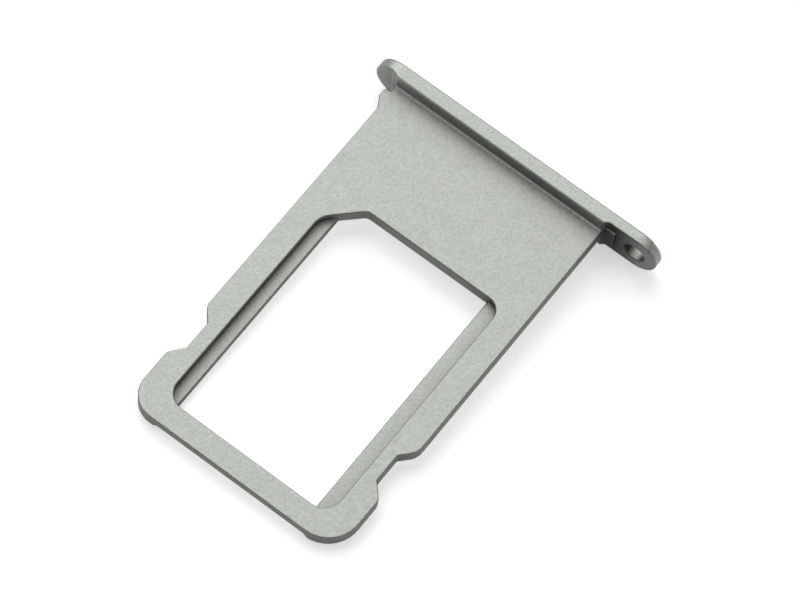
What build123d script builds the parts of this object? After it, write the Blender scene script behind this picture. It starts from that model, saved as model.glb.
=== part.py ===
from build123d import *
import os

os.makedirs("parts", exist_ok=True)

# A machined aluminium tray that carries one small SIM card into a phone.
# Millimetres. X runs along the end bar, Y from the near (entering) end to the bar, Z is up.
# The origin is under the middle of the whole tray, level with the bar's lowest edge.

# The card that lies in the window, and the play around it
card_width = 8.80
card_length = 12.30
card_corner_cut = 1.65
card_side_play = 0.05
card_end_play = 0.11
card_corner_play = 0.15

# The flat plate around the window
side_rail = 1.28
near_rail = 1.17
web_length = 5.72
plate_thickness = 0.70
near_rail_thickness = 0.46
near_left_radius = 1.30
near_right_radius = 1.65
edge_round = 0.06

# The window's own corners, and the two ledges the card lies on
window_near_radius = 0.85
window_far_radius = 0.70
cut_side_radius = 1.00
cut_far_radius = 0.45
left_ledge = 0.58
right_ledge = 0.76
ledge_thickness = 0.26
ledge_edge_round = 0.08

# The space left under the near rail stops this far short of the window's sides
relief_end_margin = 0.45

# Two notches in the sides that a spring inside the phone clicks into
notch_floor = 1.48
notch_ramp = 0.66
left_notch_depth = 0.56
right_notch_depth = 0.62
left_notch_from_window = 3.12
right_notch_from_window = 3.33
notch_floor_radius = 0.12
notch_mouth_radius = 0.50
right_notch_far_radius = 0.90

# A small catch on the left side, just before the bar
catch_reach = 0.33
catch_tip = 0.43
catch_ramp = 0.60
catch_gap = 0.39
catch_radius = 0.10

# The bar that closes the slot in the phone's side, with its thicker shoulder
bar_height = 2.30
bar_thickness = 0.59
left_overhang = 1.27
right_overhang = 2.80
shoulder_depth = 0.16
left_shoulder_ramp = 0.40
right_shoulder_ramp = 0.16
shoulder_radius = 0.20
outer_edge_round = 0.12
back_edge_round = 0.10

# Where the plate grows out of the bar
left_root_radius = 0.30
right_root_radius = 0.15
root_margin = 0.30
foot_radius = 0.12

# A low pad on the bar's inner side, to the right of the plate
pad_reach = 0.62
pad_depth = 0.11
pad_height = 1.28
pad_end_radius = 0.08

# The round hole that the eject pin goes into
hole_diameter = 1.10
hole_edge_break = 0.04

# An edge is looked for this near to its place
pick_margin = 0.01

# Sizes that follow from the ones above
window_width = card_width + 2 * card_side_play
window_length = card_length + 2 * card_end_play
window_corner_cut = card_corner_cut - card_corner_play
plate_width = window_width + 2 * side_rail
bar_length = left_overhang + plate_width + right_overhang
total_length = near_rail + window_length + web_length + shoulder_depth + bar_thickness

# Places along X
bar_left = -bar_length / 2
bar_right = bar_length / 2
plate_left = bar_left + left_overhang
plate_right = bar_right - right_overhang
window_left = plate_left + side_rail
window_right = plate_right - side_rail
hole_x = bar_right - bar_height / 2

# Places along Y
near_y = -total_length / 2
window_near_y = near_y + near_rail
window_far_y = window_near_y + window_length
shoulder_y = window_far_y + web_length
back_y = shoulder_y + shoulder_depth
outer_y = back_y + bar_thickness
bar_middle_y = (back_y + outer_y) / 2
pad_y = back_y - pad_depth

# Places along Z: the plate is level with the middle of the bar's height
middle_z = bar_height / 2
plate_bottom_z = middle_z - plate_thickness / 2
plate_top_z = middle_z + plate_thickness / 2
ledge_top_z = plate_bottom_z + ledge_thickness
near_rail_bottom_z = plate_top_z - near_rail_thickness


def outline(corners):
    """A closed face from corners given as (x, y, corner radius)."""
    points = [(x, y) for x, y, radius in corners]
    radii = [radius for x, y, radius in corners]
    return make_face(FilletPolyline(*points, radius=radii, close=True))


def prism(face, low_z, high_z):
    """The face pulled straight up from one height to another."""
    return Pos(0, 0, low_z) * extrude(face, high_z - low_z)


def edges_at(solid, axis, low, high):
    """The edges whose middles lie between two places along an axis."""
    return solid.edges().filter_by_position(axis, low - pick_margin, high + pick_margin)


def notch(side_x, inward, middle_y, depth, far_radius):
    """The four corners of a side notch, from its near end to its far end."""
    floor_x = side_x + inward * depth
    floor_near_y = middle_y - notch_floor / 2
    floor_far_y = middle_y + notch_floor / 2
    return [
        (side_x, floor_near_y - notch_ramp, notch_mouth_radius),
        (floor_x, floor_near_y, notch_floor_radius),
        (floor_x, floor_far_y, notch_floor_radius),
        (side_x, floor_far_y + notch_ramp, far_radius),
    ]


# The plate's outline, round from the near left corner. Its far end lies inside the bar.
right_notch_y = window_near_y + right_notch_from_window
left_notch_y = window_near_y + left_notch_from_window
right_notch = notch(plate_right, -1, right_notch_y, right_notch_depth, right_notch_far_radius)
left_notch = notch(plate_left, 1, left_notch_y, left_notch_depth, notch_mouth_radius)

# The catch slopes out from the near side and ends square, so the tray goes in but not out
catch_x = plate_left - catch_reach
catch_far_y = shoulder_y - catch_gap
catch_tip_y = catch_far_y - catch_tip
catch_near_y = catch_tip_y - catch_ramp
catch = [
    (plate_left, catch_far_y, catch_radius),
    (catch_x, catch_far_y, catch_radius),
    (catch_x, catch_tip_y, catch_radius),
    (plate_left, catch_near_y, catch_radius),
]

near_end = [
    (plate_left, near_y, near_left_radius),
    (plate_right, near_y, near_right_radius),
]
root_right_x = plate_right + right_root_radius + root_margin
root_left_x = plate_left - left_root_radius - root_margin
root = [
    (plate_right, pad_y, right_root_radius),
    (root_right_x, pad_y, 0),
    (root_right_x, bar_middle_y, 0),
    (root_left_x, bar_middle_y, 0),
    (root_left_x, back_y, 0),
    (plate_left, back_y, left_root_radius),
]
plate_outline = outline(near_end + right_notch + root + catch + left_notch[::-1])
plate = prism(plate_outline, plate_bottom_z, plate_top_z)

# The window is cut in two steps: a pocket with the card's shape, then a narrower opening below it
pocket_outline = outline(
    [
        (window_left, window_near_y, window_near_radius),
        (window_right, window_near_y, window_near_radius),
        (window_right, window_far_y, window_far_radius),
        (window_left + window_corner_cut, window_far_y, cut_far_radius),
        (window_left, window_far_y - window_corner_cut, cut_side_radius),
    ]
)
opening_left = window_left + left_ledge
opening_right = window_right - right_ledge
opening_width = opening_right - opening_left
opening_middle = ((opening_left + opening_right) / 2, (window_near_y + window_far_y) / 2)
opening_outline = pocket_outline & Pos(*opening_middle) * Rectangle(opening_width, window_length)
plate -= prism(pocket_outline, ledge_top_z, plate_top_z)
plate -= prism(opening_outline, plate_bottom_z, ledge_top_z)

# All upper edges of the plate are slightly rounded, and so are the ledges' free edges
plate = fillet(edges_at(plate, Axis.Z, plate_top_z, plate_top_z), edge_round)
ledge_level = edges_at(plate, Axis.Z, ledge_top_z, ledge_top_z).filter_by(Axis.Y)
ledge_edges = [edge for edge in edges_at(plate, Axis.X, opening_left, opening_right) if edge in ledge_level]
plate = fillet(ledge_edges, ledge_edge_round)

# The near rail is thinner from below, with sloping ends that leave a foot at each corner
relief_height = near_rail_bottom_z - plate_bottom_z
relief_left = window_left + relief_end_margin
relief_right = window_right - relief_end_margin
relief_profile = Plane.XZ * Polygon(
    (relief_left - relief_height, plate_bottom_z - relief_height),
    (relief_right + relief_height, plate_bottom_z - relief_height),
    (relief_right + relief_height, plate_bottom_z),
    (relief_right, near_rail_bottom_z),
    (relief_left, near_rail_bottom_z),
    (relief_left - relief_height, plate_bottom_z),
    align=None,
)
plate -= Pos(0, window_near_y, 0) * extrude(relief_profile, 2 * near_rail)

# The bar is a pill shape seen from its end face. Seen from above it has the stepped shoulder.
pill = Plane.XZ * Pos(0, middle_z) * SlotOverall(bar_length, bar_height)
pill_bar = Pos(0, outer_y, 0) * extrude(pill, outer_y - shoulder_y)
shoulder_plan = outline(
    [
        (bar_left, back_y, 0),
        (plate_left - left_shoulder_ramp, back_y, shoulder_radius),
        (plate_left, shoulder_y, shoulder_radius),
        (plate_right, shoulder_y, shoulder_radius),
        (plate_right + right_shoulder_ramp, back_y, shoulder_radius),
        (bar_right, back_y, 0),
        (bar_right, outer_y, 0),
        (bar_left, outer_y, 0),
    ]
)
bar = pill_bar & prism(shoulder_plan, 0, bar_height)

# Both long rims of the bar are rounded
bar = fillet(edges_at(bar, Axis.Y, outer_y, outer_y), outer_edge_round)
back_rim = edges_at(bar, Axis.Y, shoulder_y, back_y).filter_by(Axis.Z, reverse=True)
bar = fillet(back_rim, back_edge_round)

# The pad reaches from inside the shoulder to its rounded right end
pad_right = plate_right + pad_reach
pad_outline = outline(
    [
        (plate_right, pad_y, 0),
        (pad_right, pad_y, pad_end_radius),
        (pad_right, bar_middle_y, 0),
        (plate_right, bar_middle_y, 0),
    ]
)
pad = prism(pad_outline, middle_z - pad_height / 2, middle_z + pad_height / 2)

# A small hollow round runs along the foot of the shoulder, on the plate's upper face
foot_y = shoulder_y - foot_radius
foot_top_z = plate_top_z + foot_radius
foot_middle = Pos((foot_y + shoulder_y) / 2, (plate_top_z + foot_top_z) / 2)
foot_corner = foot_middle * Rectangle(foot_radius, foot_radius)
foot_profile = Plane.YZ * (foot_corner - Pos(foot_y, foot_top_z) * Circle(foot_radius))
foot = Pos(plate_left, 0, 0) * extrude(foot_profile, plate_width - edge_round)

# The plate, the bar, the pad and the round at the foot are one piece
tray = bar + plate + pad + foot

# The eject hole is centred on the bar's round right end, its rims slightly broken
hole_place = Pos(hole_x, bar_middle_y, middle_z) * Rot(X=90)
tray -= hole_place * Cylinder(hole_diameter / 2, bar_thickness)
hole_rims = tray.edges().filter_by(GeomType.CIRCLE).filter_by(lambda edge: edge.is_closed)
tray = chamfer(hole_rims, hole_edge_break)

tray.label = "sim_tray"
export_step(tray, "parts/sim_tray.step")
print("sim_tray", tray.is_valid, len(tray.solids()), tray.bounding_box())
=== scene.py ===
# %% [markdown]
# # A SIM card tray in blasted aluminium
#
# This lesson dresses one small machined part: the tray that carries a SIM card into the side of a phone.
# The whole tray is milled from a single piece of aluminium. It has a thin plate with a stepped window for
# the card, a click notch in each side, and a pill-shaped bar that closes the slot in the phone.
# All of those shapes are already in the CAD solid, so Blender's work here is the finish, the light and
# the picture. We start by loading the solid and noting its size.

# %% Load the solid
import bpy
from math import acos, atan, cos, degrees, radians, sin
from mathutils import Matrix, Vector


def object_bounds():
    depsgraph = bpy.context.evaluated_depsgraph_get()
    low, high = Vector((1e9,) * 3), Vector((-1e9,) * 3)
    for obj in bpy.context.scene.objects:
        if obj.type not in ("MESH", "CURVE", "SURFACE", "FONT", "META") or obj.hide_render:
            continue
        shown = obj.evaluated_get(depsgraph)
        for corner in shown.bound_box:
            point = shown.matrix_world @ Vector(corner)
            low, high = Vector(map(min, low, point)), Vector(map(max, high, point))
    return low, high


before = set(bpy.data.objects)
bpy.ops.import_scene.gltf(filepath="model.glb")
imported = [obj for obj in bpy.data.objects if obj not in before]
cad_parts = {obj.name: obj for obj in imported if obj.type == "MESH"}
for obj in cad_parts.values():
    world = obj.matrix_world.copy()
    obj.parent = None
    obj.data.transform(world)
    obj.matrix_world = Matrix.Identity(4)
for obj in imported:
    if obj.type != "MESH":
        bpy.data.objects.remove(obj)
cad_low, cad_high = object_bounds()
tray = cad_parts["sim_tray"]
MM = 0.001

size_mm = (cad_high - cad_low) / MM
print("The tray measures %.2f x %.2f x %.2f mm" % tuple(size_mm))

# %% [markdown]
# ## Where the tray touches the table
#
# The bar is taller than the plate, so the tray lies with a slight slope: the bar's lower edge touches at the
# far end, and the two thick corners of the plate touch at the near end. The solid keeps its plate level,
# because other parts are fitted to it in that position. Instead of turning the tray we slope the table, and
# for that we read the two lines of contact from the mesh itself.

# %% Read the two lines of contact
NEAR_END = 1.0 * MM
LEVEL = 0.005 * MM

points = [vertex.co for vertex in tray.data.vertices]
near_y = cad_low.y
foot_z = min(point.z for point in points if point.y < near_y + NEAR_END)
bar_z = cad_low.z
bar_y = min(point.y for point in points if point.z < bar_z + LEVEL)
floor_slope = (bar_z - foot_z) / (bar_y - near_y)
print("Feet at %.2f mm, bar at %.2f mm: a slope of %.2f degrees"
      % (foot_z / MM, bar_z / MM, degrees(atan(floor_slope))))

# %% [markdown]
# ## Colours and nodes
#
# Colours are written as the hex values we would pick on a screen. Blender's shaders count light, not screen
# values, so one function turns a hex value into linear colour. A second small function adds a node to a
# tree, sets its options and fills its inputs, either with a number or with a link from another node.
# A Mix node has a pair of inputs A and B for each kind of data, all with the same names, so those are found
# by their number instead.

# %% Helpers
FACTOR, FLOAT_A, FLOAT_B, COLOUR_A, COLOUR_B = 0, 2, 3, 6, 7
FLOAT_RESULT, COLOUR_RESULT = 0, 2


def linear(hex_colour):
    """An sRGB hex colour such as "C3C7C1" as linear red, green and blue, with full alpha."""
    channels = [int(hex_colour[i:i + 2], 16) / 255 for i in (0, 2, 4)]
    light = [c / 12.92 if c <= 0.04045 else ((c + 0.055) / 1.055) ** 2.4 for c in channels]
    return (*light, 1.0)


def add_node(tree, kind, options=None, inputs=None):
    """Adds a node. An input's value is a number, a colour, or the socket to link it from."""
    node = tree.nodes.new(kind)
    for name, value in (options or {}).items():
        setattr(node, name, value)
    for name, value in (inputs or {}).items():
        if isinstance(value, bpy.types.NodeSocket):
            tree.links.new(value, node.inputs[name])
        else:
            node.inputs[name].default_value = value
    return node


def new_tree(name):
    """A material with an empty node tree and its output node."""
    material = bpy.data.materials.new(name)
    material.use_nodes = True
    material.node_tree.nodes.clear()
    return material, material.node_tree, add_node(material.node_tree, "ShaderNodeOutputMaterial")


print("Mid grey in linear light:", round(linear("808080")[0], 3))

# %% [markdown]
# ## Bead-blasted, clear-anodised aluminium
#
# The tray is milled, then blasted with tiny glass beads, and then gets a thin clear oxide skin. The beads
# leave a field of shallow dimples, so the metal has no sharp reflection: it is a soft, grainy grey with a
# faint green-warm cast. Three things give that to the eye: a bump pattern, a roughness that varies from
# dimple to dimple, and a tone that varies in the same way. Real dimples are about 0.07 mm wide, under two
# pixels of this picture, so the grain is drawn nearly twice as coarse in order to show. A faint unevenness
# about a millimetre wide is mixed into the tone.

# %% Grain and tone of the blasted skin
GRAIN = 0.12 * MM
MOTTLE = 0.9 * MM
MOTTLE_SHARE = 0.12
NOISE_LOW, NOISE_HIGH = 0.3, 0.7
DIMPLE_DEPTH, DIMPLE_STRENGTH = 0.018 * MM, 0.9
SMOOTHEST, ROUGHEST = 0.58, 0.70
DARK_SKIN = linear("8E918C")
PALE_SKIN = linear("F0F3EE")

# Besides the grain, this material carries painted shade and painted highlights, built further down.
metal, tree, output = new_tree("blasted_aluminium_with_painted_shade")
where = add_node(tree, "ShaderNodeTexCoord")
grain = add_node(tree, "ShaderNodeTexNoise", None, {
    "Vector": where.outputs["Object"], "Scale": 1 / GRAIN, "Detail": 2.0, "Roughness": 0.6})
mottle = add_node(tree, "ShaderNodeTexNoise", None, {
    "Vector": where.outputs["Object"], "Scale": 1 / MOTTLE, "Detail": 3.0, "Roughness": 0.55})
dimples = add_node(tree, "ShaderNodeBump", None, {
    "Strength": DIMPLE_STRENGTH, "Distance": DIMPLE_DEPTH, "Height": grain.outputs["Fac"]})
roughness = add_node(tree, "ShaderNodeMapRange", None, {
    "Value": grain.outputs["Fac"], "From Min": NOISE_LOW, "From Max": NOISE_HIGH,
    "To Min": SMOOTHEST, "To Max": ROUGHEST})
blend = add_node(tree, "ShaderNodeMix", {"data_type": "FLOAT"}, {
    FACTOR: MOTTLE_SHARE, FLOAT_A: grain.outputs["Fac"], FLOAT_B: mottle.outputs["Fac"]})
skin = add_node(tree, "ShaderNodeMix", {"data_type": "RGBA"}, {
    FACTOR: blend.outputs[FLOAT_RESULT], COLOUR_A: DARK_SKIN, COLOUR_B: PALE_SKIN})
print("Grain of %.2f mm is noise at scale %.0f per metre" % (GRAIN / MM, 1 / GRAIN))

# %% [markdown]
# The walls get painted shade: their colour is made darker, standing in for the shade and dark reflections
# they show, and so do the thin rounds along the edges and the bore of the hole. We build a mask that is 1 on
# a level face, which keeps its full tone, and near 0 on a wall, which gets the most painted shade.
# The Normal output tells how level a face is. Two round faces count as more level than they are, which gives
# them a painted highlight. The hollow one along the bar's foot is found by its height. The round side of the
# bar's right end is found by lying past the hole and by not facing back towards the plate.

# %% How level each face is
FLAT_FROM, FLAT_TO = 0.70, 0.98
# The foot and end values below lighten the hollow round along the bar's foot and the round side of the bar's
# right end: a painted highlight in the skin's colour.
FOOT_HEIGHT, FOOT_REACH, FOOT_PAINTED_HIGHLIGHT = 1.575 * MM, 0.07 * MM, 0.4
END_FROM, END_PAINTED_HIGHLIGHT = 7.17 * MM, 0.88
FADE = 0.04 * MM

facing = add_node(tree, "ShaderNodeSeparateXYZ", None, {"Vector": where.outputs["Normal"]})
place = add_node(tree, "ShaderNodeSeparateXYZ", None, {"Vector": where.outputs["Object"]})
level = add_node(tree, "ShaderNodeMath", {"operation": "ABSOLUTE"}, {0: facing.outputs["Z"]})
foot = add_node(tree, "ShaderNodeMath", {"operation": "COMPARE"}, {
    0: place.outputs["Z"], 1: FOOT_HEIGHT, 2: FOOT_REACH})
level = add_node(tree, "ShaderNodeMath", {"operation": "MULTIPLY_ADD"}, {
    0: foot.outputs[0], 1: FOOT_PAINTED_HIGHLIGHT, 2: level.outputs[0]})
end = add_node(tree, "ShaderNodeMapRange", None, {
    "Value": place.outputs["X"], "From Min": END_FROM, "From Max": END_FROM + FADE, "To Max": END_PAINTED_HIGHLIGHT})
end_side = add_node(tree, "ShaderNodeMath", {"operation": "MULTIPLY_ADD"}, {
    0: end.outputs["Result"], 1: facing.outputs["Y"], 2: end.outputs["Result"]})
level = add_node(tree, "ShaderNodeMath", {"operation": "MAXIMUM"}, {
    0: level.outputs[0], 1: end_side.outputs[0]})
flat = add_node(tree, "ShaderNodeMapRange", None, {
    "Value": level.outputs[0], "From Min": FLAT_FROM, "From Max": FLAT_TO})
print("A face counts as flat up to %.0f degrees from level, and as a wall from %.0f"
      % (degrees(acos(FLAT_TO)), degrees(acos(FLAT_FROM))))

# %% [markdown]
# The bar is a case of its own: its outer face, which shows in the phone, keeps the full tone, and along its
# inner side the painted shade changes from place to place. A colour ramp along X holds that: half level at the
# left end, a little higher behind the plate, and 0, the deepest painted shade, in the nook right of the plate.

# %% How much painted shade each face gets
# Levels here: 1 keeps the skin's full tone, and lower levels darken it as painted shade.
WALL_PAINTED_LIGHT_LEVEL = 0.26
OUTER_SKIN = 0.01 * MM
BAR_DEPTH = 0.84 * MM
PAINTED_LIGHT_LEVEL_ALONG_BAR = (
    (-7.8, 0.5), (-6.6, 0.5), (-6.4, 0.68), (4.8, 0.54), (5.0, 0.0), (5.7, 0.0), (7.0, 0.34), (7.8, 0.34))

outer = add_node(tree, "ShaderNodeMapRange", None, {
    "Value": place.outputs["Y"], "From Min": cad_high.y - OUTER_SKIN, "From Max": cad_high.y})
bar_inside = cad_high.y - BAR_DEPTH
on_bar = add_node(tree, "ShaderNodeMapRange", None, {
    "Value": place.outputs["Y"], "From Min": bar_inside, "From Max": bar_inside + FADE})
bar_left, bar_right = PAINTED_LIGHT_LEVEL_ALONG_BAR[0][0] * MM, PAINTED_LIGHT_LEVEL_ALONG_BAR[-1][0] * MM
along = add_node(tree, "ShaderNodeMapRange", None, {
    "Value": place.outputs["X"], "From Min": bar_left, "From Max": bar_right})
bar_painted_light_level = add_node(tree, "ShaderNodeValToRGB", None, {"Fac": along.outputs["Result"]})
stops = bar_painted_light_level.color_ramp.elements
for x, _ in PAINTED_LIGHT_LEVEL_ALONG_BAR[1:-1]:
    stops.new((x * MM - bar_left) / (bar_right - bar_left))
for stop, (_, amount) in zip(stops, PAINTED_LIGHT_LEVEL_ALONG_BAR):
    stop.color = (amount, amount, amount, 1.0)
wall = add_node(tree, "ShaderNodeMix", {"data_type": "FLOAT"}, {
    FACTOR: on_bar.outputs["Result"], FLOAT_A: WALL_PAINTED_LIGHT_LEVEL, FLOAT_B: bar_painted_light_level.outputs["Color"]})
painted_light_level = add_node(tree, "ShaderNodeMath", {"operation": "MAXIMUM"}, {
    0: flat.outputs["Result"], 1: outer.outputs["Result"]})
painted_light_level = add_node(tree, "ShaderNodeMath", {"operation": "MAXIMUM"}, {
    0: painted_light_level.outputs[0], 1: wall.outputs[FLOAT_RESULT]})
# The ramp's stops set the painted shade along the bar's inner side.
print("Places along the bar where the finish is set:", len(stops))

# %% [markdown]
# The mask sets two kinds of painted shade: how much darker the skin's colour is made, and how much darker
# still it gets where little light finds its way in. For the second an Ambient Occlusion node measures how much
# of the space over a point is open within a few millimetres, and a power makes that weaker or stronger. The
# node looks only at the tray itself, so the table doesn't darken what faces it.

# %% Painted shade on walls and corners
PAINTED_SHADE_TONE = 0.12
DEEP_PAINTED_CORNER_SHADE, FACE_PAINTED_CORNER_SHADE = 1.8, 0.25
PAINTED_SHADE_REACH = 3.0 * MM
PAINTED_SHADE_RAYS = 12

# Painted shade: the colour is darkened down to this tone on the walls and in the nook.
tone = add_node(tree, "ShaderNodeMapRange", None, {
    "Value": painted_light_level.outputs[0], "To Min": PAINTED_SHADE_TONE, "To Max": 1.0})
power = add_node(tree, "ShaderNodeMapRange", None, {
    "Value": painted_light_level.outputs[0], "To Min": DEEP_PAINTED_CORNER_SHADE, "To Max": FACE_PAINTED_CORNER_SHADE})
# Painted shade in corners and creases: the occlusion result darkens the colour itself.
painted_shade_occlusion = add_node(tree, "ShaderNodeAmbientOcclusion", {"samples": PAINTED_SHADE_RAYS, "only_local": True}, {
    "Distance": PAINTED_SHADE_REACH})
painted_corner_shade = add_node(tree, "ShaderNodeMath", {"operation": "POWER"}, {
    0: painted_shade_occlusion.outputs["AO"], 1: power.outputs["Result"]})
shade = add_node(tree, "ShaderNodeMath", {"operation": "MULTIPLY"}, {
    0: tone.outputs["Result"], 1: painted_corner_shade.outputs[0]})
shaded = add_node(tree, "ShaderNodeMix", {"data_type": "RGBA", "blend_type": "MULTIPLY"}, {
    FACTOR: 1.0, COLOUR_A: skin.outputs[COLOUR_RESULT], COLOUR_B: shade.outputs[0]})
surface = add_node(tree, "ShaderNodeBsdfPrincipled", None, {
    "Base Color": shaded.outputs[COLOUR_RESULT], "Metallic": 1.0, "Roughness": roughness.outputs["Result"],
    "Normal": dimples.outputs["Normal"]})
tree.links.new(surface.outputs["BSDF"], output.inputs["Surface"])

tray.data.materials[0] = metal
print("Material on the tray:", tray.data.materials[0].name)

# %% [markdown]
# ## A pale table
#
# The table is a plain sheet under the two lines of contact. It should look white in the picture and still
# show the tray's soft shadow. A Light Path node helps: to the camera, and to rays that come from metal or
# glass, the sheet glows a little as well as being lit, while it sends no extra light onto the tray.
# Seen from below the sheet is clear, so the underside can be looked at too.

# %% The table
FLOOR_HALF = 600 * MM
FLOOR_GLOW = 0.42
PAPER = linear("F4F4F4")

rim = [(x, y, foot_z + floor_slope * (y - near_y))
       for x, y in ((-FLOOR_HALF, -FLOOR_HALF), (FLOOR_HALF, -FLOOR_HALF),
                    (FLOOR_HALF, FLOOR_HALF), (-FLOOR_HALF, FLOOR_HALF))]
sheet = bpy.data.meshes.new("table")
sheet.from_pydata(rim, [], [(0, 1, 2, 3)])
table = bpy.data.objects.new("table", sheet)
bpy.context.collection.objects.link(table)

paper, tree, output = new_tree("white_paper")
path = add_node(tree, "ShaderNodeLightPath")
seen = add_node(tree, "ShaderNodeMath", {"operation": "ADD", "use_clamp": True}, {
    0: path.outputs["Is Camera Ray"], 1: path.outputs["Is Glossy Ray"]})
seen = add_node(tree, "ShaderNodeMath", {"operation": "ADD", "use_clamp": True}, {
    0: seen.outputs[0], 1: path.outputs["Is Transmission Ray"]})
strength = add_node(tree, "ShaderNodeMath", {"operation": "MULTIPLY"}, {0: seen.outputs[0], 1: FLOOR_GLOW})
glow = add_node(tree, "ShaderNodeEmission", None, {"Strength": strength.outputs[0]})
matt = add_node(tree, "ShaderNodeBsdfDiffuse", None, {"Color": PAPER})
both = add_node(tree, "ShaderNodeAddShader", None, {0: matt.outputs[0], 1: glow.outputs[0]})
clear = add_node(tree, "ShaderNodeBsdfTransparent")
side = add_node(tree, "ShaderNodeNewGeometry")
sheet_shader = add_node(tree, "ShaderNodeMixShader", None, {
    0: side.outputs["Backfacing"], 1: both.outputs[0], 2: clear.outputs[0]})
tree.links.new(sheet_shader.outputs[0], output.inputs["Surface"])
sheet.materials.append(paper)
print("Table slopes from %.2f mm to %.2f mm under the tray" % (foot_z / MM, bar_z / MM))

# %% [markdown]
# ## Studio light
#
# One large soft lamp stands beyond the bar, to the left. It is reflected by the flat faces towards the
# camera, and leaves the bar's inner face and the near walls in shade, which draws the edges. A weaker,
# even world light fills the rest. The lamp's place is given by two angles round the middle of the tray:
# azimuth 0 is the near side and 90 the right, and the elevation is counted up from level.

# %% The lamp and the world
LAMP_AZIMUTH, LAMP_ELEVATION = radians(228), radians(44)
LAMP_DISTANCE, LAMP_SIDE = 1000 * MM, 1000 * MM
LAMP_WATTS = 6.2
WORLD_STRENGTH = 0.45

softbox = bpy.data.lights.new("far_left_softbox", "AREA")
softbox.shape = "SQUARE"
softbox.size = LAMP_SIDE
softbox.energy = LAMP_WATTS
towards = Vector((sin(LAMP_AZIMUTH) * cos(LAMP_ELEVATION),
                  -cos(LAMP_AZIMUTH) * cos(LAMP_ELEVATION), sin(LAMP_ELEVATION)))
lamp = bpy.data.objects.new("far_left_softbox", softbox)
lamp.location = (cad_low + cad_high) / 2 + towards * LAMP_DISTANCE
lamp.rotation_euler = towards.to_track_quat("Z", "Y").to_euler()
bpy.context.collection.objects.link(lamp)

world = bpy.data.worlds.new("studio")
world.use_nodes = True
background = world.node_tree.nodes["Background"]
background.inputs["Color"].default_value = linear("FFFFFF")
background.inputs["Strength"].default_value = WORLD_STRENGTH
bpy.context.scene.world = world
bpy.context.scene.view_settings.view_transform = "Standard"

# %% [markdown]
# ## Camera
#
# The picture is taken from above with a long lens, so that parallel edges stay nearly parallel, and the
# camera is rolled a little to the side. The place is given as angles round a point on the plate, because
# angles are easier to judge against a photograph than coordinates.

# %% The camera
AZIMUTH, ELEVATION, ROLL = 30.06, 65.87, 7.82
TARGET = Vector((-0.025, 1.075, 1.5)) * MM
DISTANCE = 210.7 * MM
FOCAL_LENGTH, SENSOR_WIDTH = 216.3, 36.0
CLIP_START = 10 * MM

turn = (Matrix.Rotation(radians(AZIMUTH), 4, "Z") @ Matrix.Rotation(radians(90 - ELEVATION), 4, "X")
        @ Matrix.Rotation(radians(ROLL), 4, "Z"))
lens = bpy.data.cameras.new("camera")
lens.lens = FOCAL_LENGTH
lens.sensor_width = SENSOR_WIDTH
lens.clip_start = CLIP_START
camera = bpy.data.objects.new("camera", lens)
camera.matrix_world = Matrix.Translation(TARGET + turn.col[2].to_3d() * DISTANCE) @ turn
bpy.context.collection.objects.link(camera)
bpy.context.scene.camera = camera
print("Camera at", [round(c / MM, 1) for c in camera.matrix_world.translation], "mm")
